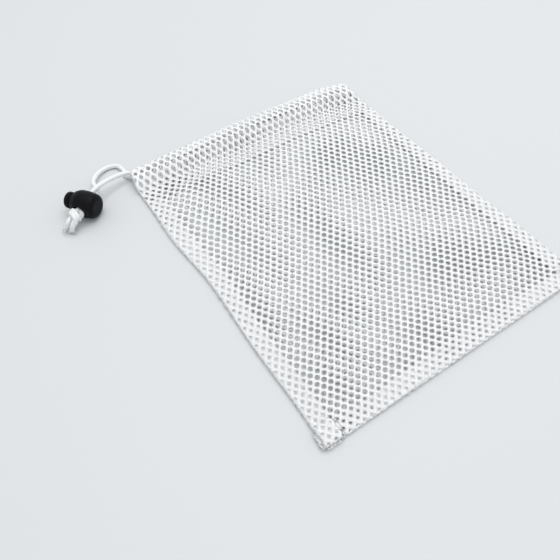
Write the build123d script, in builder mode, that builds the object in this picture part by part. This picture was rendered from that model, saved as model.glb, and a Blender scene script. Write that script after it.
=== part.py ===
from build123d import *
import os
from math import radians, tan

# Drawstring bag of warp-knitted net, lying flat with its mouth at +Y and a cord lock
# on the two cord ends beside the mouth's left corner. Millimetres, +Z up, origin at
# the middle of the bag's footprint on the surface it lies on.

# Bag
bag_width = 160.0
bag_length = 200.0
net_thickness = 0.5
mouth_gap = 4.6
seam_height = 2.0
seam_allowance = 8.5
bottom_corner_radius = 5.0
edge_roll_radius = 4.0

# Hems: each mouth edge is turned in and stitched down, which leaves a tunnel for the cord
hem_depth = 30.0
hem_overlap = 5.0
hem_ramp = 11.0
hem_nose_radius = 1.6
tunnel_clearance = 0.1

# Drawstring
cord_diameter = 2.6
cord_setback = 5.5
strand_gap = 0.3
tail_spacing = 0.3

# Stitching
thread_width = 0.6
thread_height = 0.25
stitch_inset = 1.2
overlock_width = 3.5
overlock_thickness = 0.2

# Cord lock, lying on its side beyond the mouth's left corner: its length runs from the
# domed end to the plunger
lock_beside = 32.8
lock_below = 20.1
lock_turn = 38.0
barrel_radius = 7.45
floor_clearance = 0.05
dome_length = 8.15
dome_end_radius = 6.55
dome_rounding = 3.1
mouth_length = 5.45
mouth_radius = 6.1
mouth_rounding = 0.9
facet_distance = 6.3
bore_radius = 4.3
dome_wall = 1.3
stem_clearance = 0.08
cord_hole_clearance = 0.25
hole_chamfer = 0.5
press_travel = 2.2
slot_clearance = 0.15
slot_bridge = 1.3
cap_length = 2.5
cap_overhang = 0.45
cap_rounding = 0.8
cap_rest_gap = 0.3
slide_travel = 16.0
strand_cover = 1.1

# Spring
spring_wire_radius = 0.2
spring_turns = 3.0
spring_radius = 3.3
spring_clearance = 0.05

# Knot
knot_length = 5.8
knot_radius = 4.0
knot_rounding = 1.1
knot_clearance = 0.3

os.makedirs("parts", exist_ok=True)

# Heights of the layers, from the floor up
half_width = bag_width / 2
half_length = bag_length / 2
cord_radius = cord_diameter / 2
tunnel_height = cord_diameter + 2 * tunnel_clearance
hem_height = tunnel_height + 2 * net_thickness
back_hem_top = hem_height
front_underside = back_hem_top + mouth_gap
front_top = front_underside + net_thickness
hem_edge = half_length - hem_depth
cord_y = half_length - cord_setback
back_cord_z = net_thickness + tunnel_height / 2
front_cord_z = front_top + tunnel_height / 2
inside_x = half_width - net_thickness
hem_half_width = half_width - edge_roll_radius
turn_x = hem_half_width - net_thickness - tunnel_clearance - cord_radius
turn_depth = cord_radius + 5.5
allowance_end = hem_edge - 1.0
overlap = 0.2


def finish(piece, name):
    """Names one piece and writes it as its own file."""
    piece.part.label = name
    export_step(piece.part, f"parts/{name}.step")


def hem_outline(base_z):
    """Outline of a hem seen along the mouth: stitched overlap, ramp, tunnel and rolled edge."""
    top_z = base_z + hem_height
    ramp_y = hem_edge + hem_overlap
    FilletPolyline(
        (hem_edge, base_z),
        (hem_edge, base_z + 2 * net_thickness),
        (ramp_y, base_z + 2 * net_thickness),
        (ramp_y + hem_ramp, top_z),
        (half_length, top_z),
        (half_length, base_z),
        radius=[0.3, 3.0, 3.0, hem_nose_radius],
    )
    Line((half_length, base_z), (hem_edge, base_z))


def tunnel_outline(base_z):
    """Outline of the tunnel inside a hem, one layer of net in from the hem's own outline."""
    low_z = base_z + net_thickness
    top_z = base_z + hem_height - net_thickness
    end_y = half_length - net_thickness
    ramp_y = hem_edge + hem_overlap
    FilletPolyline(
        (ramp_y + 2 * net_thickness, low_z),
        (ramp_y + hem_ramp, top_z),
        (end_y, top_z),
        (end_y, low_z),
        radius=[3.0, hem_nose_radius - net_thickness],
    )
    Line((end_y, low_z), (ramp_y + 2 * net_thickness, low_z))


def allowance_strips(base_z):
    """Plan outline of the seam allowances, turned in along both sides and the bottom."""
    strip_length = allowance_end + half_length - net_thickness
    strip_middle = (allowance_end - half_length + net_thickness) / 2
    strip_x = inside_x - seam_allowance / 2
    with BuildSketch(Plane.XY.offset(base_z)) as strips:
        with Locations((-strip_x, strip_middle), (strip_x, strip_middle)):
            Rectangle(seam_allowance, strip_length)
        with Locations((0, seam_allowance / 2 + net_thickness - half_length)):
            Rectangle(2 * inside_x, seam_allowance)
        fillet(strips.vertices().group_by(Axis.Y)[0], bottom_corner_radius - net_thickness)
    return strips.sketch


# Front panel: one cut of net. Its sides and bottom roll down to the seam line and turn in
# as a seam allowance, and its mouth edge is turned over the cord as a hem.
with BuildPart() as front_panel:
    with BuildSketch(Plane.XY.offset(seam_height)) as front_plan:
        Rectangle(bag_width, bag_length)
        fillet(front_plan.vertices().group_by(Axis.Y)[0], bottom_corner_radius)
    extrude(amount=front_top - seam_height)
    front_face = front_panel.faces().sort_by(Axis.Z)[-1]
    rolled_edges = front_face.edges() - front_face.edges().group_by(Axis.Y)[-1]
    fillet(rolled_edges, edge_roll_radius)
    mouth_face = front_panel.faces().sort_by(Axis.Y)[-1]
    seam_face = front_panel.faces().sort_by(Axis.Z)[0]
    offset(amount=-net_thickness, openings=[mouth_face, seam_face])
    with BuildSketch(Plane.YZ.offset(-hem_half_width)) as front_hem:
        with BuildLine():
            hem_outline(front_underside)
        make_face()
    extrude(amount=2 * hem_half_width)
    with BuildSketch(Plane.YZ.offset(-half_width)) as front_tunnel:
        with BuildLine():
            tunnel_outline(front_underside)
        make_face()
    extrude(amount=half_width + hem_half_width - net_thickness, mode=Mode.SUBTRACT)
    with BuildSketch(Plane.XY.offset(front_underside - overlap)) as front_pocket:
        with Locations((turn_x + cord_radius - turn_depth / 2 + tunnel_clearance, cord_y)):
            Rectangle(turn_depth, tunnel_height)
    extrude(amount=net_thickness + 2 * overlap, mode=Mode.SUBTRACT)
    with BuildSketch(Plane.YZ.offset(-half_width)) as front_exit:
        with Locations((cord_y, back_cord_z)):
            Rectangle(2 * tunnel_height, tunnel_height)
    extrude(amount=2 * net_thickness, mode=Mode.SUBTRACT)
    extrude(allowance_strips(seam_height), amount=net_thickness)
finish(front_panel, "front_panel")

# Back panel: the same cut of net, lying on the floor. Its hem turns up inside the mouth.
with BuildPart() as back_panel:
    with BuildSketch() as back_plan:
        Rectangle(bag_width, bag_length)
        fillet(back_plan.vertices().group_by(Axis.Y)[0], bottom_corner_radius)
    extrude(amount=seam_height)
    back_mouth_face = back_panel.faces().sort_by(Axis.Y)[-1]
    back_seam_face = back_panel.faces().sort_by(Axis.Z)[-1]
    offset(amount=-net_thickness, openings=[back_mouth_face, back_seam_face])
    with BuildSketch(Plane.YZ.offset(-hem_half_width)) as back_hem:
        with BuildLine():
            hem_outline(0)
        make_face()
    extrude(amount=2 * hem_half_width)
    with BuildSketch(Plane.YZ.offset(-half_width)) as back_tunnel:
        with BuildLine():
            tunnel_outline(0)
        make_face()
    extrude(amount=half_width + hem_half_width - net_thickness, mode=Mode.SUBTRACT)
    with BuildSketch(Plane.XY.offset(back_hem_top - net_thickness - overlap)) as back_pocket:
        with Locations((turn_x + cord_radius - turn_depth / 2 + tunnel_clearance, cord_y)):
            Rectangle(turn_depth, tunnel_height)
    extrude(amount=net_thickness + 2 * overlap, mode=Mode.SUBTRACT)
    extrude(allowance_strips(seam_height - net_thickness), amount=net_thickness)
finish(back_panel, "back_panel")

# Side seams: a lockstitch row near the fold, and an overlock over the two raw edges
seam_run = allowance_end + half_length - seam_allowance - net_thickness
seam_middle = (allowance_end - half_length + seam_allowance + net_thickness) / 2
stitch_z = seam_height + net_thickness
raw_edge_x = inside_x - seam_allowance
for side, side_name in ((-1, "left"), (1, "right")):
    with BuildPart() as side_stitch:
        with BuildSketch(Plane.XY.offset(stitch_z)) as side_stitch_plan:
            with Locations((side * (inside_x - stitch_inset), seam_middle)):
                SlotOverall(seam_run, thread_width, rotation=90)
        extrude(amount=thread_height)
    finish(side_stitch, f"{side_name}_seam_stitch")

    with BuildPart() as side_overlock:
        overlock_x = side * (raw_edge_x - overlock_thickness + overlock_width / 2)
        with BuildSketch(Plane.XZ.offset(-allowance_end)) as side_overlock_section:
            with Locations((overlock_x, seam_height)):
                Rectangle(overlock_width, 2 * net_thickness + 2 * overlock_thickness)
            with Locations((side * (raw_edge_x + overlock_width / 2), seam_height)):
                Rectangle(overlock_width, 2 * net_thickness, mode=Mode.SUBTRACT)
        extrude(amount=seam_run)
    finish(side_overlock, f"{side_name}_seam_overlock")

# Bottom seam: the same two rows, across the bag
bottom_fold_y = net_thickness - half_length
raw_edge_y = bottom_fold_y + seam_allowance
bottom_run = 2 * (inside_x - bottom_corner_radius)
with BuildPart() as bottom_seam_stitch:
    with BuildSketch(Plane.XY.offset(stitch_z)) as bottom_stitch_plan:
        with Locations((0, bottom_fold_y + stitch_inset)):
            SlotOverall(bottom_run, thread_width)
    extrude(amount=thread_height)
finish(bottom_seam_stitch, "bottom_seam_stitch")

with BuildPart() as bottom_seam_overlock:
    overlock_half_run = raw_edge_x - overlock_thickness - tunnel_clearance
    with BuildSketch(Plane.YZ.offset(-overlock_half_run)) as bottom_overlock_section:
        with Locations((raw_edge_y + overlock_thickness - overlock_width / 2, seam_height)):
            Rectangle(overlock_width, 2 * net_thickness + 2 * overlock_thickness)
        with Locations((raw_edge_y - overlock_width / 2, seam_height)):
            Rectangle(overlock_width, 2 * net_thickness, mode=Mode.SUBTRACT)
    extrude(amount=2 * overlock_half_run)
finish(bottom_seam_overlock, "bottom_seam_overlock")

# Hem stitches: one row on each hem, through the overlap
for hem_name, overlap_top in (
    ("front", front_underside + 2 * net_thickness),
    ("back", 2 * net_thickness),
):
    with BuildPart() as hem_stitch:
        with BuildSketch(Plane.XY.offset(overlap_top)) as hem_stitch_plan:
            with Locations((0, hem_edge + hem_overlap / 2)):
                SlotOverall(2 * hem_half_width - 2 * thread_width, thread_width)
        extrude(amount=thread_height)
    finish(hem_stitch, f"{hem_name}_hem_stitch")

# Cord lock: its own plane has x along the cord hole, towards the bag, and y along the lock
lock_x = -half_width - lock_beside
lock_y = half_length - lock_below
lock_z = barrel_radius + floor_clearance
lock_plane = Plane(
    origin=(lock_x, lock_y, lock_z),
    x_dir=Vector(1, 0, 0).rotate(Axis.Z, lock_turn),
    z_dir=(0, 0, 1),
)
hole_dir = lock_plane.x_dir
lock_dir = lock_plane.y_dir
lock_axis = Axis(lock_plane.origin, lock_dir)
hole_plane = Plane(origin=lock_plane.origin, x_dir=lock_dir, z_dir=hole_dir)
end_plane = Plane(origin=lock_plane.origin, x_dir=hole_dir, z_dir=lock_dir)
strand_rise = (cord_diameter + strand_gap) / 2
cord_hole_radius = strand_rise + cord_radius + cord_hole_clearance
bore_end = -dome_length + dome_wall
stem_end = -cord_radius - slot_clearance - slot_bridge
cap_start = mouth_length + cap_rest_gap + press_travel
cap_end = cap_start + cap_length
stem_radius = bore_radius - stem_clearance

with BuildPart() as cord_lock_barrel:
    with BuildSketch(lock_plane) as barrel_half:
        with BuildLine():
            FilletPolyline(
                (0, -dome_length),
                (dome_end_radius, -dome_length),
                (barrel_radius, -0.25 * dome_length),
                (0.98 * barrel_radius, 0.45 * mouth_length),
                (mouth_radius, mouth_length),
                (0, mouth_length),
                radius=[dome_rounding, 10.0, 3.5, mouth_rounding],
            )
            Line((0, mouth_length), (0, -dome_length))
        make_face()
    revolve(axis=lock_axis)
    with BuildSketch(end_plane.offset(-dome_length)) as facet_cuts:
        with Locations((-facet_distance - barrel_radius, 0), (facet_distance + barrel_radius, 0)):
            Rectangle(2 * barrel_radius, 2 * barrel_radius)
    extrude(amount=dome_length + mouth_length, mode=Mode.SUBTRACT)
    with BuildSketch(end_plane.offset(bore_end)) as bore:
        Circle(bore_radius)
    extrude(amount=mouth_length - bore_end + 1, mode=Mode.SUBTRACT)
    with BuildSketch(hole_plane.offset(-facet_distance)) as cord_hole:
        Circle(cord_hole_radius)
    extrude(amount=2 * facet_distance, mode=Mode.SUBTRACT)
    flat_faces = cord_lock_barrel.faces().filter_by(GeomType.PLANE)
    flat_faces = flat_faces.sort_by(Axis(lock_plane.origin, hole_dir))
    for facet in (flat_faces[0], flat_faces[-1]):
        chamfer(facet.edges().filter_by(GeomType.CIRCLE), hole_chamfer)
finish(cord_lock_barrel, "cord_lock_barrel")

# Plunger: a stem with a slot for the strands, and a rounded cap that the thumb presses
with BuildPart() as cord_lock_plunger:
    with BuildSketch(lock_plane) as plunger_half:
        with BuildLine():
            FilletPolyline(
                (0, stem_end),
                (stem_radius, stem_end),
                (stem_radius, cap_start),
                (stem_radius + cap_overhang, cap_start),
                (stem_radius + cap_overhang, cap_end),
                (0, cap_end),
                radius=[0.4, 0.2, 0.2, cap_rounding],
            )
            Line((0, cap_end), (0, stem_end))
        make_face()
    revolve(axis=lock_axis)
    slot_low = -cord_radius - slot_clearance
    slot_high = cord_radius + slot_clearance + press_travel
    with BuildSketch(hole_plane.offset(-barrel_radius)) as strand_slot:
        with Locations(((slot_low + slot_high) / 2, 0)):
            RectangleRounded(slot_high - slot_low, 2 * cord_hole_radius - 2 * slot_clearance, 0.8)
    extrude(amount=2 * barrel_radius, mode=Mode.SUBTRACT)
finish(cord_lock_plunger, "cord_lock_plunger")

# Spring: pushes the plunger out, between the closed end of the bore and the stem
spring_start = bore_end + spring_wire_radius + spring_clearance
spring_length = stem_end - bore_end - 2 * spring_wire_radius - 2 * spring_clearance
spring_path = Helix(
    pitch=spring_length / spring_turns,
    height=spring_length,
    radius=spring_radius,
    center=lock_plane.origin + lock_dir * spring_start,
    direction=lock_dir,
)
with BuildPart() as cord_lock_spring:
    with BuildSketch(Plane(origin=spring_path @ 0, z_dir=spring_path % 0)) as spring_wire:
        Circle(spring_wire_radius)
    sweep(path=spring_path, is_frenet=True)
finish(cord_lock_spring, "cord_lock_spring")


def lock_point(along_hole, along_lock, rise):
    """A point of the bag, from distances along the cord hole, along the lock and up."""
    return lock_plane.origin + hole_dir * along_hole + lock_dir * along_lock + Vector(0, 0, rise)


def corner_radii(route):
    """The largest arc that the two runs at each point leave room for."""
    radii = []
    for before, point, after in zip(route, route[1:], route[2:]):
        run_in = Vector(point) - Vector(before)
        run_out = Vector(after) - Vector(point)
        turn = radians(run_in.get_angle(run_out))
        radii.append(0.45 * min(run_in.length, run_out.length) / tan(turn / 2))
    return radii


def cord_tube(route, name):
    """One stretch of the drawstring, as a round tube along its route."""
    radii = corner_radii(route)
    with BuildPart() as tube:
        with BuildLine() as line:
            FilletPolyline(*route, radius=radii)
        with BuildSketch(Plane(origin=line.wire() @ 0, z_dir=line.wire() % 0)):
            Circle(cord_radius)
        sweep(path=line.wire())
    ratio = tube.part.volume / (3.14159265 * cord_radius**2 * line.wire().length)
    print(name, "length", round(line.wire().length, 1), "volume ratio", round(ratio, 4))
    print("   radii", [round(radius, 1) for radius in radii])
    finish(tube, name)


# Drawstring ends: two straight strands, one above the other, from the knot through the lock
knot_face = -facet_distance - knot_clearance
strand_end = -facet_distance + slide_travel + strand_cover
with BuildPart() as drawstring_ends:
    with BuildSketch(hole_plane.offset(knot_face)) as end_sections:
        with Locations((0, -strand_rise), (0, strand_rise)):
            Circle(cord_radius)
    extrude(amount=strand_end - knot_face)
finish(drawstring_ends, "drawstring_ends")

# Knot: both ends tied together against the lock, so that the lock can't come off
with BuildPart() as drawstring_knot:
    with BuildSketch(hole_plane.offset(knot_face - knot_length)) as knot_section:
        Circle(knot_radius)
    extrude(amount=knot_length)
    fillet(drawstring_knot.edges().filter_by(GeomType.CIRCLE), knot_rounding)
finish(drawstring_knot, "drawstring_knot")

# Cut tails: they leave the knot's far side and drop towards the floor
tail_start = knot_face - knot_length
tail_step = (cord_diameter + tail_spacing) / 2
first_tail = [
    lock_point(tail_start, tail_step, 0),
    lock_point(tail_start - 2.2, tail_step, 0),
    lock_point(tail_start - 3.5, 2.8, -2.2),
    lock_point(tail_start - 3.7, 4.1, -4.9),
]
second_tail = [
    lock_point(tail_start, -tail_step, 0),
    lock_point(tail_start - 2.0, -tail_step, 0),
    lock_point(tail_start - 3.7, -1.1, -2.7),
    lock_point(tail_start - 4.0, 0.1, -5.5),
]
cord_tube(first_tail, "drawstring_first_tail")
cord_tube(second_tail, "drawstring_second_tail")


def corner_point(across, along, height):
    """A point of the bag, placed from the mouth's left corner."""
    return (across - half_width, half_length + along, height)


# Straight strand: from the lock to the front hem
upper_route = [
    lock_point(strand_end, 0, strand_rise),
    lock_point(strand_end + 4.5, 0, strand_rise),
    corner_point(-16.2, -7.7, 9.7),
    corner_point(-10.2, -6.1, 9.8),
    (-half_width - 3.0, cord_y, front_cord_z),
    (-hem_half_width, cord_y, front_cord_z),
]
cord_tube(upper_route, "drawstring_upper_strand")

# Slack strand: from the lock down to the floor, round in a loop, and into the back hem
lower_route = [
    lock_point(strand_end, 0, -strand_rise),
    lock_point(strand_end + 3.4, 0, -strand_rise),
    corner_point(-21.4, -5.8, 5.2),
    corner_point(-20.2, -0.7, 4.0),
    corner_point(-17.0, 4.2, 2.5),
    corner_point(-12.0, 6.9, 1.6),
    corner_point(-7.0, 5.6, 1.45),
    corner_point(-4.8, 1.2, 1.6),
    corner_point(-3.4, -3.4, 1.8),
    (-half_width + 0.6, cord_y, back_cord_z),
    (-hem_half_width, cord_y, back_cord_z),
]
cord_tube(lower_route, "drawstring_lower_strand")

# Cord inside the hems: across the front, round at the far corner, and back across the back
hem_route = [
    (-hem_half_width, cord_y, front_cord_z),
    (-44.0, cord_y, front_cord_z),
    (-4.0, cord_y + 0.8, front_cord_z),
    (34.0, cord_y - 0.6, front_cord_z),
    (58.0, cord_y, front_cord_z),
    (turn_x, cord_y, front_cord_z),
    (turn_x, cord_y, back_cord_z),
    (56.0, cord_y, back_cord_z),
    (32.0, cord_y + 0.7, back_cord_z),
    (-6.0, cord_y - 0.7, back_cord_z),
    (-46.0, cord_y, back_cord_z),
    (-hem_half_width, cord_y, back_cord_z),
]
cord_tube(hem_route, "drawstring_in_hems")
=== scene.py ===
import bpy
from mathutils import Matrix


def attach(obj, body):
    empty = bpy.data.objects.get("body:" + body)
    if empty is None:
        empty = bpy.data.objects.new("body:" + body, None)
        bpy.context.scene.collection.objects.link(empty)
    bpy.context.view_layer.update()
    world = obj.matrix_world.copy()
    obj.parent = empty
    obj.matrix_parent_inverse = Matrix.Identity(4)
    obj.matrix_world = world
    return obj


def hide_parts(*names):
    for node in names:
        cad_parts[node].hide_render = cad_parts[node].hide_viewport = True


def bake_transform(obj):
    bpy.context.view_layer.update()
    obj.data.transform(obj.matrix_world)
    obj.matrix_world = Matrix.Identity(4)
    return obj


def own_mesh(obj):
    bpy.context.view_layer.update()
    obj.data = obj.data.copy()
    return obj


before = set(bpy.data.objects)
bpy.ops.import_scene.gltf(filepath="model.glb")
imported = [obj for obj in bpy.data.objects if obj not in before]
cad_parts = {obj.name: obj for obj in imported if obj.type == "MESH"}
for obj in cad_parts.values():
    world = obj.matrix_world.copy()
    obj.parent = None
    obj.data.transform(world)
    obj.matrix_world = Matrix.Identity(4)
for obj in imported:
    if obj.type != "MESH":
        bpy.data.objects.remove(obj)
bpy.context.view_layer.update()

import random
from math import cos, exp, pi, radians, sin

import bmesh
import bpy
from mathutils import Matrix, Vector

# Camera: above the bag's lower left, looking down along it towards the mouth.
camera_data = bpy.data.cameras.new("camera")
camera_data.sensor_width = 36.0
camera_data.lens = 32.68
camera = bpy.data.objects.new("camera", camera_data)
camera.location = (-0.1319, -0.1451, 0.2083)
camera.rotation_euler = (radians(90 - 53.81), 0, radians(-33.2))
bpy.context.collection.objects.link(camera)
bpy.context.scene.camera = camera

# Light: a white tent all round, with one wide lamp above the right side of the bag.
world = bpy.data.worlds.new("light tent")
world.use_nodes = True
bpy.context.scene.world = world
tent = world.node_tree.nodes["Background"]
tent.inputs["Color"].default_value = (0.95, 0.975, 1.0, 1)
tent.inputs["Strength"].default_value = 0.80
lamp_data = bpy.data.lights.new("overhead lamp", "AREA")
lamp_data.size = 1.1
lamp_data.energy = 10.5
lamp_data.color = (1.0, 0.995, 0.985)
lamp = bpy.data.objects.new("overhead lamp", lamp_data)
lamp.location = (0.3, 0.15, 1.35)
lamp.rotation_euler = lamp.location.to_track_quat("Z", "Y").to_euler()
bpy.context.collection.objects.link(lamp)
bpy.context.scene.view_settings.view_transform = "Standard"


def new_material(name, color, roughness):
    """A material with its output shader, and the node tree to add detail to."""
    material = bpy.data.materials.new(name)
    material.use_nodes = True
    shader = material.node_tree.nodes["Principled BSDF"]
    shader.inputs["Base Color"].default_value = (*color, 1)
    shader.inputs["Roughness"].default_value = roughness
    material.diffuse_color = (*color, 1)
    return material, shader, material.node_tree


def add_piece(name, mesh_bm, material, body):
    """Makes a bmesh into a piece of the object that rides on a body."""
    mesh = bpy.data.meshes.new(name)
    mesh_bm.to_mesh(mesh)
    mesh_bm.free()
    mesh.materials.append(material)
    for polygon in mesh.polygons:
        polygon.use_smooth = True
    piece = bpy.data.objects.new(name, mesh)
    bpy.context.collection.objects.link(piece)
    if body:
        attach(piece, body)
    return piece


# Drawstring: one round braided polyester cord, 2.6 mm thick. Its two strands leave the
# hems at the mouth's left corner, one straight and one in a slack loop, and run
# through the cord lock to the knot.
mm = 0.001
cord_diameter = 2.6 * mm
lock_centre = Vector((-112.8, 79.9, 7.5)) * mm
lock_turn = radians(38)
hole_dir = Vector((cos(lock_turn), sin(lock_turn), 0))
lock_dir = Vector((-sin(lock_turn), cos(lock_turn), 0))
strand_rise = 1.45
strand_line_step = 0.2 * mm
strand_relief = 0.12 * mm


def lock_point(along_hole, along_lock, rise):
    """A point placed from the middle of the lock's cord hole, in millimetres."""
    return lock_centre + (hole_dir * along_hole + lock_dir * along_lock + Vector((0, 0, rise))) * mm


def route_line(points, name):
    """The smooth line that a cord follows: a NURBS spline over its route's points."""
    curve = bpy.data.curves.new(name, "CURVE")
    curve.dimensions = "3D"
    spline = curve.splines.new("NURBS")
    spline.points.add(len(points) - 1)
    for point, place in zip(spline.points, points):
        point.co = (*place, 1)
    spline.order_u = 3
    spline.use_endpoint_u = True
    spline.resolution_u = 24
    holder = bpy.data.objects.new(name, curve)
    bpy.context.collection.objects.link(holder)
    bpy.context.view_layer.update()
    line_mesh = bpy.data.meshes.new_from_object(holder)
    line = [vertex.co.copy() for vertex in line_mesh.vertices]
    bpy.data.objects.remove(holder)
    bpy.data.curves.remove(curve)
    bpy.data.meshes.remove(line_mesh)
    return line


def even_steps(line, step):
    """The same line, with its points an equal distance apart."""
    lengths = [0.0]
    for before, after in zip(line, line[1:]):
        lengths.append(lengths[-1] + (after - before).length)
    count = max(2, round(lengths[-1] / step))
    spaced = []
    place = 0
    for index in range(count + 1):
        wanted = lengths[-1] * index / count
        while place < len(line) - 2 and lengths[place + 1] < wanted:
            place += 1
        share = (wanted - lengths[place]) / max(lengths[place + 1] - lengths[place], 1e-9)
        spaced.append(line[place].lerp(line[place + 1], min(max(share, 0), 1)))
    return spaced


def braided_tube(line, radius, relief, sides=28, lay_length=5.2 * mm, carriers=8):
    """A round tube along a line, with the raised diamonds of a braid."""
    tube = bmesh.new()
    ring = bmesh.ops.create_circle(tube, segments=sides, radius=radius)["verts"]
    ring_edges = tube.edges[:]
    side = (line[1] - line[0]).orthogonal().normalized()
    distance = 0.0
    places = {}
    for index, centre in enumerate(line):
        ahead = line[min(index + 1, len(line) - 1)] - line[max(index - 1, 0)]
        ahead.normalize()
        side = (side - ahead * side.dot(ahead)).normalized()
        across = ahead.cross(side)
        if index:
            distance += (centre - line[index - 1]).length
            grown = bmesh.ops.extrude_edge_only(tube, edges=ring_edges)["geom"]
            ring_edges = [part for part in grown if isinstance(part, bmesh.types.BMEdge)]
            ring = [part for part in grown if isinstance(part, bmesh.types.BMVert)]
        for number, vertex in enumerate(ring):
            angle = 2 * pi * number / sides
            turn = 2 * pi * distance / lay_length
            over = cos(carriers / 2 * (angle + turn)) * cos(carriers / 2 * (angle - turn))
            height = radius + relief * (abs(over) ** 0.6 - 0.75)
            vertex.co = centre + (side * cos(angle) + across * sin(angle)) * height
            places[vertex] = (number, distance)
    uv_layer = tube.loops.layers.uv.new("UVMap")
    for face in tube.faces:
        numbers = [places[loop.vert][0] for loop in face.loops]
        wraps = max(numbers) - min(numbers) > sides / 2
        for loop, number in zip(face.loops, numbers):
            share = (number + sides * (wraps and number == 0)) / sides
            loop[uv_layer].uv = (share, places[loop.vert][1] / lay_length)
    bmesh.ops.holes_fill(tube, edges=[edge for edge in tube.edges if edge.is_boundary])
    bmesh.ops.recalc_face_normals(tube, faces=tube.faces)
    return tube


def add_yarn(tree, shader, scale, strength):
    """Fine twisted yarns that follow the piece's own map, as bump and a little painted shade in their
    grooves.
    """
    where = tree.nodes.new("ShaderNodeTexCoord")
    yarns = tree.nodes.new("ShaderNodeTexWave")
    yarns.bands_direction = "DIAGONAL"
    yarns.inputs["Scale"].default_value = scale
    yarns.inputs["Distortion"].default_value = 1.5
    yarns.inputs["Detail"].default_value = 1.0
    tree.links.new(where.outputs["UV"], yarns.inputs["Vector"])
    bump = tree.nodes.new("ShaderNodeBump")
    bump.inputs["Strength"].default_value = strength
    bump.inputs["Distance"].default_value = 0.08 * mm
    tree.links.new(yarns.outputs["Fac"], bump.inputs["Height"])
    tree.links.new(bump.outputs["Normal"], shader.inputs["Normal"])
    base = shader.inputs["Base Color"].default_value[:3]
    # Painted shade: the base colour is darkened by 7% where the yarn bump is low, in its grooves.
    groove_shade = tree.nodes.new("ShaderNodeMixRGB")
    groove_shade.inputs["Color1"].default_value = (*(0.93 * part for part in base), 1)
    groove_shade.inputs["Color2"].default_value = (*base, 1)
    tree.links.new(yarns.outputs["Fac"], groove_shade.inputs["Fac"])
    tree.links.new(groove_shade.outputs["Color"], shader.inputs["Base Color"])


cord_white, cord_shader, cord_tree = new_material("white braided cord", (0.86, 0.87, 0.87), 0.62)
cord_shader.inputs["Sheen Weight"].default_value = 0.25
cord_shader.inputs["Sheen Roughness"].default_value = 0.4
cord_shader.inputs["Subsurface Weight"].default_value = 0.12
cord_shader.inputs["Subsurface Radius"].default_value = (0.6 * mm, 0.6 * mm, 0.6 * mm)
cord_shader.inputs["Subsurface Scale"].default_value = 1.0
add_yarn(cord_tree, cord_shader, 5.0, 0.5)

# The upper strand runs nearly straight to the front hem, and the lower one makes a loop on
# the floor on its way to the back hem.
front_cord_z = 5.55
back_cord_z = 2.0
upper_route = [
    lock_point(0, 0, strand_rise),
    lock_point(5, 0, strand_rise),
    lock_point(10.8, 0, strand_rise),
    Vector((-99.4, 88.9, 8.6)) * mm,
    Vector((-92.6, 91.5, 7.4)) * mm,
    Vector((-86.4, 92.9, 6.3)) * mm,
    Vector((-81.2, 92.0, 5.7)) * mm,
    Vector((-76.0, 91.0, front_cord_z)) * mm,
    Vector((-68.0, 91.3, front_cord_z)) * mm,
]
lower_route = [
    lock_point(0, 0, -strand_rise),
    lock_point(5, 0, -strand_rise),
    lock_point(10.8, 0, -strand_rise),
    lock_point(13.4, 0.3, -strand_rise),
    Vector((-103.0, 94.4, 5.4)) * mm,
    Vector((-101.4, 100.0, 4.0)) * mm,
    Vector((-97.0, 105.6, 2.5)) * mm,
    Vector((-90.8, 108.6, 1.6)) * mm,
    Vector((-84.6, 107.4, 1.5)) * mm,
    Vector((-82.6, 101.2, 1.6)) * mm,
    Vector((-83.8, 94.8, 1.8)) * mm,
    Vector((-80.0, 91.2, 1.9)) * mm,
    Vector((-76.0, 91.0, back_cord_z)) * mm,
    Vector((-68.0, 91.3, back_cord_z)) * mm,
]
for strand_name, route, cad_node in (
    ("drawstring_straight_strand", upper_route, "drawstring_upper_strand"),
    ("drawstring_slack_strand", lower_route, "drawstring_lower_strand"),
):
    line = even_steps(route_line(route, strand_name), strand_line_step)
    tube = braided_tube(line, cord_diameter / 2, strand_relief)
    strand = add_piece(strand_name, tube, cord_white, None)
    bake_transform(strand)
    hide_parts(cad_node)

# Net panels: front and back are two cuts of the same warp-knitted net, 0.6 mm thick,
# whose crossing strands leave round holes. It is drawn out towards the mouth and closes
# up towards the bottom. The turned-in sides, bottom and hem show through it.
cell_pitch = 4.22 * mm
row_pitch = 3.05 * mm
pitch_growth_across = 0.0045
pitch_growth_along = 0.0078
hole_corner = (0.65, 0.465)
hole_side = (0.80, 0.75)
hole_unevenness = 0.05
hole_wander = 0.07 * mm
seam_gather = 0.36
hem_gather_share = 0.4
seam_band_inner = 11 * mm
seam_band_outer = 7 * mm
grid_doublings = 6
columns_each_side = 25
lowest_row = -49
highest_row = 43
net_thickness = 0.62 * mm
layer_step = 0.64 * mm
half_width = 80 * mm
half_length = 100 * mm
hem_edge_y = 70 * mm
allowance = 8.5 * mm
hem_depth = 30 * mm
side_fold = layer_step / 2
mouth_fold = 1.6 * mm
mouth_turn = pi * mouth_fold
cut_half_width = half_width - side_fold + pi * side_fold + allowance
cut_bottom = -half_length - allowance
cut_top = half_length - mouth_fold + mouth_turn + hem_depth - mouth_fold
yarn_map_size = 10 * mm


def smooth(low, high, value):
    """Goes evenly from 0 at low to 1 at high."""
    share = min(max((value - low) / (high - low), 0), 1)
    return share * share * (3 - 2 * share)


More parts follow.
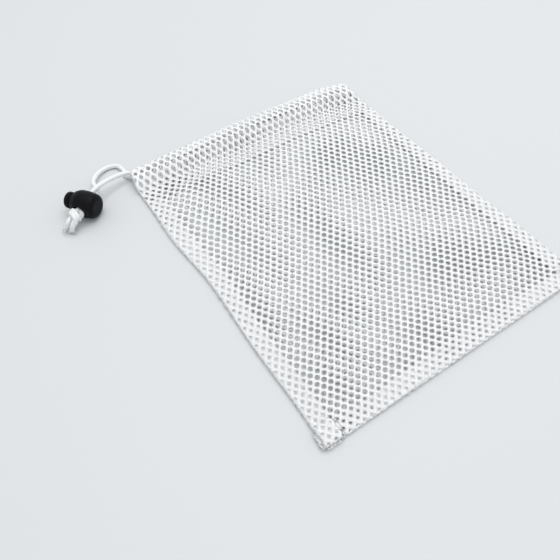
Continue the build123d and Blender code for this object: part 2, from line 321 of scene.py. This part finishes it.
def flat_net(turn, stretch, phase):
    """A flat cut of net: rows of diamonds with a round hole in each, a little uneven."""
    def stretched(place):
        """Where a place in the even rows goes when the pitch grows across and along."""
        across = (exp(pitch_growth_across * place.x / cell_pitch) - 1) / pitch_growth_across * cell_pitch
        along = (exp(pitch_growth_along * place.y / row_pitch) - 1) / pitch_growth_along * row_pitch
        return Vector((across, along, 0))

    net = bmesh.new()
    half_cell = Vector((cell_pitch / 2, row_pitch, 0))
    bmesh.ops.create_circle(
        net, cap_ends=True, segments=4, radius=1.0,
        matrix=Matrix.Diagonal((half_cell.x, half_cell.y, 1, 1)),
    )
    for step, doublings in (
        (half_cell, 1),
        (Vector((cell_pitch, 0, 0)), grid_doublings),
        (Vector((0, 2 * row_pitch, 0)), grid_doublings),
    ):
        for doubling in range(doublings):
            copied = bmesh.ops.duplicate(net, geom=net.verts[:] + net.edges[:] + net.faces[:])["geom"]
            copied_verts = [part for part in copied if isinstance(part, bmesh.types.BMVert)]
            bmesh.ops.translate(net, verts=copied_verts, vec=step * 2**doubling)
    half_grid = 2**(grid_doublings - 1)
    grid_centre = Vector((half_grid * cell_pitch, 2 * half_grid * row_pitch, 0))
    bmesh.ops.translate(net, verts=net.verts, vec=-grid_centre)
    spare = [
        face for face in net.faces
        if abs(face.calc_center_median().x) > columns_each_side * cell_pitch
        or not lowest_row * row_pitch < face.calc_center_median().y < highest_row * row_pitch
    ]
    bmesh.ops.delete(net, geom=spare, context="FACES")
    bmesh.ops.remove_doubles(net, verts=net.verts, dist=0.05 * mm)
    bmesh.ops.subdivide_edges(net, edges=net.edges[:], cuts=1)
    holes = net.faces[:]
    bmesh.ops.inset_individual(net, faces=holes, thickness=0.3 * mm)
    wobble = random.Random(7 + int(phase * 10))
    for hole in holes:
        middle = hole.calc_center_median()
        knitted = stretched(middle)
        gathered = max(
            smooth(half_width - seam_band_inner, half_width - seam_band_outer, abs(knitted.x)),
            smooth(-half_length + seam_band_inner, -half_length + seam_band_outer, knitted.y),
        )
        if knitted.y > hem_edge_y:
            gathered *= hem_gather_share
        size = wobble.uniform(1 - hole_unevenness, 1 + hole_unevenness) * (1 - seam_gather * gathered)
        shift = Vector((wobble.uniform(-1, 1), wobble.uniform(-1, 1), 0)) * hole_wander
        outer = {}
        for loop in hole.loops:
            spoke_end = next(
                edge.other_vert(loop.vert).co for edge in loop.vert.link_edges
                if edge.other_vert(loop.vert) not in hole.verts
            )
            outer[loop.vert] = spoke_end - middle
        for vertex, spoke in outer.items():
            straight = abs(spoke.x) < 0.3 * half_cell.x or abs(spoke.y) < 0.3 * half_cell.y
            reach = hole_corner if straight else hole_side
            vertex.co = middle + shift + Vector((spoke.x * reach[0], spoke.y * reach[1], 0)) * size
    bmesh.ops.delete(net, geom=holes, context="FACES")
    for vertex in net.verts:
        x, y, _ = stretched(vertex.co)
        vertex.co.x = x * stretch + 0.9 * mm * sin(y / (33 * mm) + phase)
        vertex.co.x += 0.3 * mm * sin(x / (14 * mm) + phase)
        vertex.co.y = y + 1.2 * mm * sin(x / (31 * mm) + 2 * phase)
    bmesh.ops.rotate(net, verts=net.verts, matrix=Matrix.Rotation(turn, 3, "Z"))
    for place, outward in (
        ((cut_half_width, 0, 0), (1, 0, 0)),
        ((-cut_half_width, 0, 0), (-1, 0, 0)),
        ((0, cut_top, 0), (0, 1, 0)),
        ((0, cut_bottom, 0), (0, -1, 0)),
    ):
        bmesh.ops.bisect_plane(
            net, geom=net.verts[:] + net.edges[:] + net.faces[:],
            plane_co=place, plane_no=outward, clear_outer=True,
        )
    uv_layer = net.loops.layers.uv.new("UVMap")
    for face in net.faces:
        for loop in face.loops:
            loop[uv_layer].uv = (loop.vert.co.x / yarn_map_size, loop.vert.co.y / yarn_map_size)
    return net


def layer_height(x, y, front):
    """Height of a panel's outer layer above the floor, as it lies over what is under it."""
    side = half_width - abs(x)
    bottom = y + half_length
    corner = smooth(10 * mm, 7.5 * mm, side) * smooth(10 * mm, 7.5 * mm, bottom)
    inside = smooth(0, 24 * mm, side) * smooth(0, 26 * mm, bottom)
    ripple = (
        0.5 * sin(x / (17 * mm) + 1.3) * cos(y / (24 * mm) - 0.4)
        + 0.35 * sin((x + 0.8 * y) / (13 * mm) + 2.1)
        + 0.15 * sin((x - 1.7 * y) / (9 * mm) + 0.6)
    )
    floor_gap = 0.35 * mm + 0.35 * mm * inside * (1 + ripple)
    if not front:
        return floor_gap
    stack = 3 * layer_step + 4 * layer_step * corner
    body = stack + inside * (1.1 + 0.8 * ripple) * mm
    mouth = 2 * layer_step + 2 * hem_swell(x, y) + 0.45 * mm * (1 + 0.4 * sin(x / (21 * mm)))
    share = smooth(66 * mm, 82 * mm, y)
    return floor_gap + body * (1 - share) + mouth * share


def mouth_droop(x, y):
    """How far the pull of the drawstring draws the mouth edge in, most at its corner."""
    pull = 2.0 * mm + 5.0 * mm * smooth(10 * mm, -85 * mm, x) + 3.0 * mm * smooth(55 * mm, 80 * mm, x)
    return -pull * smooth(45 * mm, 95 * mm, y)


def side_flare(x, y):
    """How far the left side spreads towards the end the strands leave by."""
    spread = smooth(0, 45 * mm, y) * (1 - 0.35 * smooth(84 * mm, 98 * mm, y))
    return -2.9 * mm * smooth(-48 * mm, -80 * mm, x) * spread


def hem_swell(x, y):
    """How far the cord holds a hem's two layers apart."""
    swell = (2 * mouth_fold - layer_step) * smooth(82 * mm, 91.5 * mm, y)
    return swell * (1 - 0.8 * smooth(75.5 * mm, 80 * mm, x))


def lay_net(net, front):
    """Folds a flat cut where it is sewn, and lays it as one side of the bag."""
    facing = 1 if front else -1
    turning_shift = 1.7 * mm if front else -1.3 * mm
    for vertex in net.verts:
        flat_x, flat_y = vertex.co.x, vertex.co.y
        along = flat_y
        lean = 0.0
        inner = 0.0
        turned_under = 0.0
        past = flat_y - (half_length - mouth_fold)
        if past > 0:
            lean = min(past / mouth_fold, pi)
            along = half_length - mouth_fold + mouth_fold * sin(lean) - max(past - mouth_turn, 0)
            inner = (layer_step + hem_swell(flat_x, half_length)) / 2 * (1 - cos(lean))
            if lean == pi:
                inner = layer_step + hem_swell(flat_x, along)
        bottom_fold = side_fold * (1 + 2.0 * smooth(66 * mm, 74 * mm, abs(flat_x)))
        under = -half_length + bottom_fold - flat_y
        if under > 0:
            lean = -min(under / bottom_fold, pi)
            along = -half_length + bottom_fold - bottom_fold * sin(-lean)
            along += max(under - pi * bottom_fold, 0)
            inner = bottom_fold * (1 - cos(lean))
            turned_under = turning_shift * smooth(bottom_fold, 3 * mm, under)
        beyond = abs(flat_x) - (half_width - side_fold)
        across = flat_x
        depth = 0.0
        if beyond > 0:
            bend = min(beyond / side_fold, pi)
            reach = half_width - side_fold + side_fold * sin(bend) - max(beyond - pi * side_fold, 0)
            across = reach if flat_x > 0 else -reach
            depth = side_fold * (1 - cos(bend))
            along += turning_shift * smooth(side_fold, 3 * mm, beyond)
        edge_wave = 0.35 * mm * sin(along / (11 * mm) + (1 if flat_x > 0 else 2.4))
        edge_wave *= smooth(40 * mm, half_width, abs(across))
        height = layer_height(across, along, front)
        vertex.co = Vector((
            across + edge_wave + turned_under + side_flare(across, along),
            along - sin(lean) * depth + mouth_droop(across, along),
            height - facing * (inner + depth * cos(lean)),
        ))


net_white, net_shader, net_tree = new_material("white net", (0.935, 0.94, 0.945), 0.6)
net_shader.inputs["Sheen Weight"].default_value = 0.2
net_shader.inputs["Sheen Roughness"].default_value = 0.45
net_shader.inputs["Subsurface Weight"].default_value = 0.9
net_shader.inputs["Subsurface Radius"].default_value = (1.6 * mm, 1.6 * mm, 1.6 * mm)
net_shader.inputs["Subsurface Scale"].default_value = 1.0
add_yarn(net_tree, net_shader, 12.0, 0.35)
# A gap in each hem's inner layer lets the cord turn at the far corner. The hems' ends are
# open above the side seams.
turn_gap = Vector((74 * mm, half_length - mouth_fold + mouth_turn + 3.75 * mm, 0))
turn_gap_radius = 2.4 * mm
hem_end_start = 71 * mm
for panel_name, cad_node, front, turn, stretch, phase in (
    ("front_net", "front_panel", True, radians(0.3), 1.0, 0.7),
    ("back_net", "back_panel", False, radians(-3.9), 1.03, 2.2),
):
    cut = flat_net(turn, stretch, phase)
    open_faces = []
    for face in cut.faces:
        middle = face.calc_center_median()
        past_hem_end = middle.y > hem_end_start and abs(middle.x) > half_width
        if past_hem_end or (middle - turn_gap).length < turn_gap_radius:
            open_faces.append(face)
    bmesh.ops.delete(cut, geom=open_faces, context="FACES")
    cloth_area = sum(face.calc_area() for face in cut.faces)
    cut.verts.index_update()
    middles = [vertex.index for vertex in cut.verts if not vertex.is_boundary]
    lay_net(cut, front)
    if not front:
        bmesh.ops.reverse_faces(cut, faces=cut.faces)
    panel = add_piece(panel_name, cut, net_white, "bag")
    strand_middles = panel.vertex_groups.new(name="strand middles")
    strand_middles.add(middles, 1.0, "REPLACE")
    thicken = panel.modifiers.new("thickness", "SOLIDIFY")
    thicken.thickness = net_thickness
    thicken.offset = 0
    thicken.vertex_group = strand_middles.name
    thicken.thickness_vertex_group = 0.4
    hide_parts(cad_node)

# Drawstring in the hems: the same cord, across the front hem, round inside the far corner
# and back across the back hem.
hem_route = [
    Vector(place) * mm for place in (
        (-76.0, 97.8, front_cord_z), (-44.0, 95.5, front_cord_z), (-4.0, 95.3, front_cord_z),
        (34.0, 93.9, front_cord_z), (58.0, 94.5, front_cord_z), (74.1, 94.5, front_cord_z),
        (74.1, 94.5, back_cord_z), (56.0, 94.5, back_cord_z), (32.0, 95.2, back_cord_z),
        (-6.0, 93.8, back_cord_z), (-46.0, 95.5, back_cord_z), (-76.0, 97.8, back_cord_z),
    )
]
hem_route = [place + Vector((0, mouth_droop(place.x, place.y), 0)) for place in hem_route]
slim_radius = 1.25 * mm
hidden_relief = 0.1 * mm
hem_line_step = 0.45 * mm
hem_line = even_steps(route_line(hem_route, "hem cord line"), hem_line_step)
hem_tube = braided_tube(hem_line, slim_radius, hidden_relief, sides=16)
hem_cord = add_piece("drawstring_in_hems_cord", hem_tube, cord_white, "bag")
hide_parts("drawstring_in_hems")


def joined(parts):
    """Several bmeshes as one."""
    whole = bmesh.new()
    for part in parts:
        part_mesh = bpy.data.meshes.new("part")
        part.to_mesh(part_mesh)
        part.free()
        whole.from_mesh(part_mesh)
        bpy.data.meshes.remove(part_mesh)
    return whole


# Drawstring ends: both strands run straight through the lock's cord hole to the knot, a
# little pressed together by the plunger.
end_line_step = 0.25 * mm
end_tubes = []
for rise in (-strand_rise, strand_rise):
    end_line = even_steps([lock_point(-7.4, 0, rise), lock_point(10.6, 0, rise)], end_line_step)
    end_tubes.append(braided_tube(end_line, 1.22 * mm, hidden_relief, sides=20))
ends = add_piece("drawstring_end_strands", joined(end_tubes), cord_white, "bag")
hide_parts("drawstring_ends")

# Knot: both strands are tied together in one tight overhand knot against the lock. Each
# goes about once and a quarter round the other and is drawn down between the turns.
knot_middle = -9.5
half_knot = 2.9
wrap_radius = 2.55
wrap_turns = 1.3
wrap_steps = 20
knot_relief = 0.16 * mm
knot_strands = []
for strand_number in range(2):
    wrap_route = []
    for step in range(wrap_steps + 1):
        share = step / wrap_steps
        angle = 2 * pi * wrap_turns * share + 2.2 + 0.5 * strand_number
        out = wrap_radius * (0.25 + 0.75 * smooth(0, 0.14, min(share, 1 - share)))
        out += 0.25 * sin(3 * angle + strand_number)
        along = knot_middle + half_knot - 2 * half_knot * smooth(0, 1, 0.12 + 0.76 * share)
        along += 1.0 * cos(angle - 0.6)
        along += 1.25 - 2.3 * strand_number
        wrap_route.append(lock_point(along, out * cos(angle), out * sin(angle)))
    wrap_line = even_steps(route_line(wrap_route, "knot turn"), end_line_step)
    knot_strands.append(braided_tube(wrap_line, 1.28 * mm, knot_relief, sides=22, lay_length=4.4 * mm))
for side_step in (-1.0, 1.0):
    core_route = [
        lock_point(-6.4, 0, 1.3 * side_step), lock_point(-8.0, 0.3 * side_step, 0.9 * side_step),
        lock_point(-10.0, 1.0 * side_step, 0.2 * side_step), lock_point(-12.4, 1.4 * side_step, 0),
    ]
    core_line = even_steps(route_line(core_route, "knot core"), end_line_step)
    knot_strands.append(braided_tube(core_line, 1.2 * mm, 0.14 * mm, sides=18))
knot = add_piece("drawstring_tied_knot", joined(knot_strands), cord_white, "bag")
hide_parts("drawstring_knot")

# Cut tails: the two ends past the knot, cut by hand, so their yarns have frayed.
tail_start = -12.1
fray_seed = 41
fibre_count = 46
lowest_fibre_z = 0.25 * mm
frays = random.Random(fray_seed)
for tail_name, cad_node, tail_route in (
    (
        "drawstring_first_tail_end", "drawstring_first_tail",
        [lock_point(tail_start, 1.4, 0), lock_point(tail_start - 1.9, 1.5, -0.2),
         lock_point(tail_start - 3.3, 2.6, -2.4), lock_point(tail_start - 3.6, 4.0, -4.9)],
    ),
    (
        "drawstring_second_tail_end", "drawstring_second_tail",
        [lock_point(tail_start, -1.4, 0), lock_point(tail_start - 1.8, -1.4, -0.3),
         lock_point(tail_start - 3.4, -1.0, -2.8), lock_point(tail_start - 3.6, 0.2, -5.3)],
    ),
):
    tail_line = even_steps(route_line(tail_route, tail_name), end_line_step)
    tail_parts = [braided_tube(tail_line, slim_radius, knot_relief, sides=20)]
    tip = tail_line[-1]
    tip_dir = (tail_line[-1] - tail_line[-4]).normalized()
    for fibre_number in range(fibre_count):
        spread = Vector((frays.gauss(0, 1), frays.gauss(0, 1), frays.gauss(0, 0.5)))
        root = tip + spread * 0.45 * mm - tip_dir * 0.4 * mm
        reach = (tip_dir * frays.uniform(1.2, 2.6) + spread * 0.7) * mm
        end = root + reach
        end.z = max(end.z, lowest_fibre_z)
        fibre = bmesh.new()
        bmesh.ops.create_cone(
            fibre, cap_ends=True, segments=4, radius1=0.11 * mm, radius2=0.06 * mm,
            depth=(end - root).length,
        )
        fibre_turn = (end - root).to_track_quat("Z", "Y").to_matrix()
        bmesh.ops.rotate(fibre, verts=fibre.verts, matrix=fibre_turn)
        bmesh.ops.translate(fibre, verts=fibre.verts, vec=(root + end) / 2)
        tail_parts.append(fibre)
    tail = add_piece(tail_name, joined(tail_parts), cord_white, "bag")
    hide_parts(cad_node)

# Seams: a lockstitch row along each side and the bottom, and an overlock over the two raw
# edges of the turnings. Both are sewn in the same white polyester thread.
thread_white, thread_shader, thread_tree = new_material("white sewing thread", (0.9, 0.9, 0.9), 0.5)
thread_shader.inputs["Sheen Weight"].default_value = 0.3
add_yarn(thread_tree, thread_shader, 9.0, 0.4)
thread_radius = 0.2 * mm
thread_sides = 5


def thread_run(points):
    """A thin thread through points, closed at both ends."""
    thread = bmesh.new()
    ring = bmesh.ops.create_circle(thread, segments=thread_sides, radius=thread_radius)["verts"]
    edges = thread.edges[:]
    for index, centre in enumerate(points):
        ahead = points[min(index + 1, len(points) - 1)] - points[max(index - 1, 0)]
        turn = ahead.to_track_quat("Z", "Y").to_matrix()
        if index:
            grown = bmesh.ops.extrude_edge_only(thread, edges=edges)["geom"]
            edges = [part for part in grown if isinstance(part, bmesh.types.BMEdge)]
            ring = [part for part in grown if isinstance(part, bmesh.types.BMVert)]
        for number, vertex in enumerate(ring):
            angle = 2 * pi * number / thread_sides
            vertex.co = centre + turn @ Vector((cos(angle), sin(angle), 0)) * thread_radius
    bmesh.ops.holes_fill(thread, edges=[edge for edge in thread.edges if edge.is_boundary])
    bmesh.ops.recalc_face_normals(thread, faces=thread.faces)
    return thread


seam_middle_z = 0.35 * mm + 1.5 * layer_step
stitch_length = 2.6 * mm
stitch_inset = 1.5 * mm
overlock_pitch = 1.9 * mm
overlock_near = 5.2 * mm
overlock_far = 8.75 * mm
overlock_rise = 0.85 * mm
corner_clear = 10 * mm
side_seam_length = 158 * mm
bottom_seam_length = 2 * (half_width - corner_clear)
to_right = Vector((1, 0, 0))
to_mouth = Vector((0, 1, 0))
left_start = Vector((-half_width, -half_length + corner_clear, 0))
right_start = Vector((half_width, -half_length + corner_clear, 0))
bottom_start = Vector((-half_width + corner_clear, -half_length, 0))
for seam_name, start, along_seam, inward, seam_length in (
    ("left", left_start, to_mouth, to_right, side_seam_length),
    ("right", right_start, to_mouth, -to_right, side_seam_length),
    ("bottom", bottom_start, to_right, to_mouth, bottom_seam_length),
):
    up = Vector((0, 0, seam_middle_z))
    stitch_row = []
    for step in range(int(seam_length / stitch_length * 4) + 1):
        rise = (0.28 * mm, 0.5 * mm, 0.28 * mm, -0.5 * mm)[step % 4]
        place = start + along_seam * step * stitch_length / 4 + inward * stitch_inset
        place.x += side_flare(place.x, place.y)
        stitch_row.append(place + up + Vector((0, 0, rise)))
    stitches = add_piece(f"{seam_name}_lockstitch", thread_run(stitch_row), thread_white, "bag")
    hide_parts(f"{seam_name}_seam_stitch")
    loops = []
    for step in range(int(seam_length / overlock_pitch * 4) + 1):
        depth = (overlock_near, overlock_far, overlock_far, overlock_near)[step % 4]
        rise = (overlock_rise, overlock_rise, -overlock_rise, -overlock_rise)[step % 4]
        place = start + along_seam * step * overlock_pitch / 4 + inward * depth
        place.x += side_flare(place.x, place.y)
        loops.append(place + up + Vector((0, 0, rise)))
    overlock = add_piece(f"{seam_name}_overlock", thread_run(loops), thread_white, "bag")
    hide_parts(f"{seam_name}_seam_overlock")

# Hem stitches: one row through each hem, near its turned-in edge.
hem_stitch_y = 72.5 * mm
hem_stitch_end = 75 * mm
for hem_name, front in (("front", True), ("back", False)):
    hem_row = []
    for step in range(int(2 * hem_stitch_end / stitch_length * 4) + 1):
        x = -hem_stitch_end + step * stitch_length / 4
        low = layer_height(x, hem_stitch_y, front)
        rise = (0.42, 0.45, 0.42, -0.9)[step % 4] * mm
        if not front:
            rise = -rise if step % 4 == 3 else layer_step + rise
        y = hem_stitch_y + mouth_droop(x, hem_stitch_y) + 0.15 * mm * sin(x / (9 * mm))
        hem_row.append(Vector((x, y, low + rise)))
    hem_stitches = add_piece(
        f"{hem_name}_hem_lockstitch", thread_run(hem_row), thread_white, "bag"
    )
    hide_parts(f"{hem_name}_hem_stitch")

def add_grain(tree, shader, scale, detail, strength, depth):
    """Fine grain on a hard surface, as bump. Returns the node that gives the place."""
    where = tree.nodes.new("ShaderNodeTexCoord")
    grain = tree.nodes.new("ShaderNodeTexNoise")
    grain.inputs["Scale"].default_value = scale
    grain.inputs["Detail"].default_value = detail
    tree.links.new(where.outputs["Object"], grain.inputs["Vector"])
    bump = tree.nodes.new("ShaderNodeBump")
    bump.inputs["Strength"].default_value = strength
    bump.inputs["Distance"].default_value = depth
    tree.links.new(grain.outputs["Fac"], bump.inputs["Height"])
    tree.links.new(bump.outputs["Normal"], shader.inputs["Normal"])
    return where


# Cord lock: barrel and plunger are moulded in black acetal with a fine satin finish, whose
# gloss is a little uneven. The CAD shapes are kept.
lock_black, lock_shader, lock_tree = new_material("black satin acetal", (0.004, 0.004, 0.005), 0.42)
lock_shader.inputs["Specular IOR Level"].default_value = 0.1
where = add_grain(lock_tree, lock_shader, 2600.0, 3.0, 0.25, 0.03 * mm)
rub = lock_tree.nodes.new("ShaderNodeTexNoise")
rub.inputs["Scale"].default_value = 190.0
lock_tree.links.new(where.outputs["Object"], rub.inputs["Vector"])
rub_range = lock_tree.nodes.new("ShaderNodeMapRange")
rub_range.inputs["To Min"].default_value = 0.34
rub_range.inputs["To Max"].default_value = 0.5
lock_tree.links.new(rub.outputs["Fac"], rub_range.inputs["Value"])
lock_tree.links.new(rub_range.outputs["Result"], lock_shader.inputs["Roughness"])
for node_name in ("cord_lock_barrel", "cord_lock_plunger"):
    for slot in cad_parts[node_name].material_slots:
        slot.material = lock_black

# Spring: wound from bright steel wire, hidden in the barrel behind the plunger. It is
# pressed down to under half its length when the plunger is pushed in.
spring_steel, steel_shader, steel_tree = new_material("bright spring steel", (0.62, 0.62, 0.6), 0.28)
steel_shader.inputs["Metallic"].default_value = 1.0
add_grain(steel_tree, steel_shader, 1500.0, 2.0, 0.15, 0.02 * mm)
spring_seat = -6.6
spring_length = 3.6
spring_radius = 3.3
wire_radius = 0.2
turn_count = 3
turn_steps = 24
coil = bmesh.new()
bmesh.ops.create_circle(
    coil, segments=10, radius=wire_radius * mm,
    matrix=Matrix.Translation(lock_point(0, spring_seat, spring_radius))
    @ hole_dir.to_track_quat("Z", "Y").to_matrix().to_4x4(),
)
bmesh.ops.spin(
    coil, geom=coil.verts[:] + coil.edges[:], cent=lock_point(0, spring_seat, 0), axis=lock_dir,
    dvec=lock_dir * spring_length * mm / (turn_count * turn_steps), angle=2 * pi * turn_count,
    steps=turn_count * turn_steps, use_merge=False,
)
bmesh.ops.holes_fill(coil, edges=[edge for edge in coil.edges if edge.is_boundary])
bmesh.ops.recalc_face_normals(coil, faces=coil.faces)
spring = add_piece("cord_lock_coil", coil, spring_steel, "cord_lock")
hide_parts("cord_lock_spring")
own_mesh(spring)

# Floor: a plain pale sheet that everything lies on.
floor_reach = 2.5
floor_bm = bmesh.new()
bmesh.ops.create_grid(floor_bm, x_segments=1, y_segments=1, size=floor_reach)
floor_mesh = bpy.data.meshes.new("floor")
floor_bm.to_mesh(floor_mesh)
floor_bm.free()
floor = bpy.data.objects.new("floor", floor_mesh)
bpy.context.collection.objects.link(floor)
floor_paint = new_material("pale floor", (0.635, 0.65, 0.66), 0.6)[0]
floor_mesh.materials.append(floor_paint)
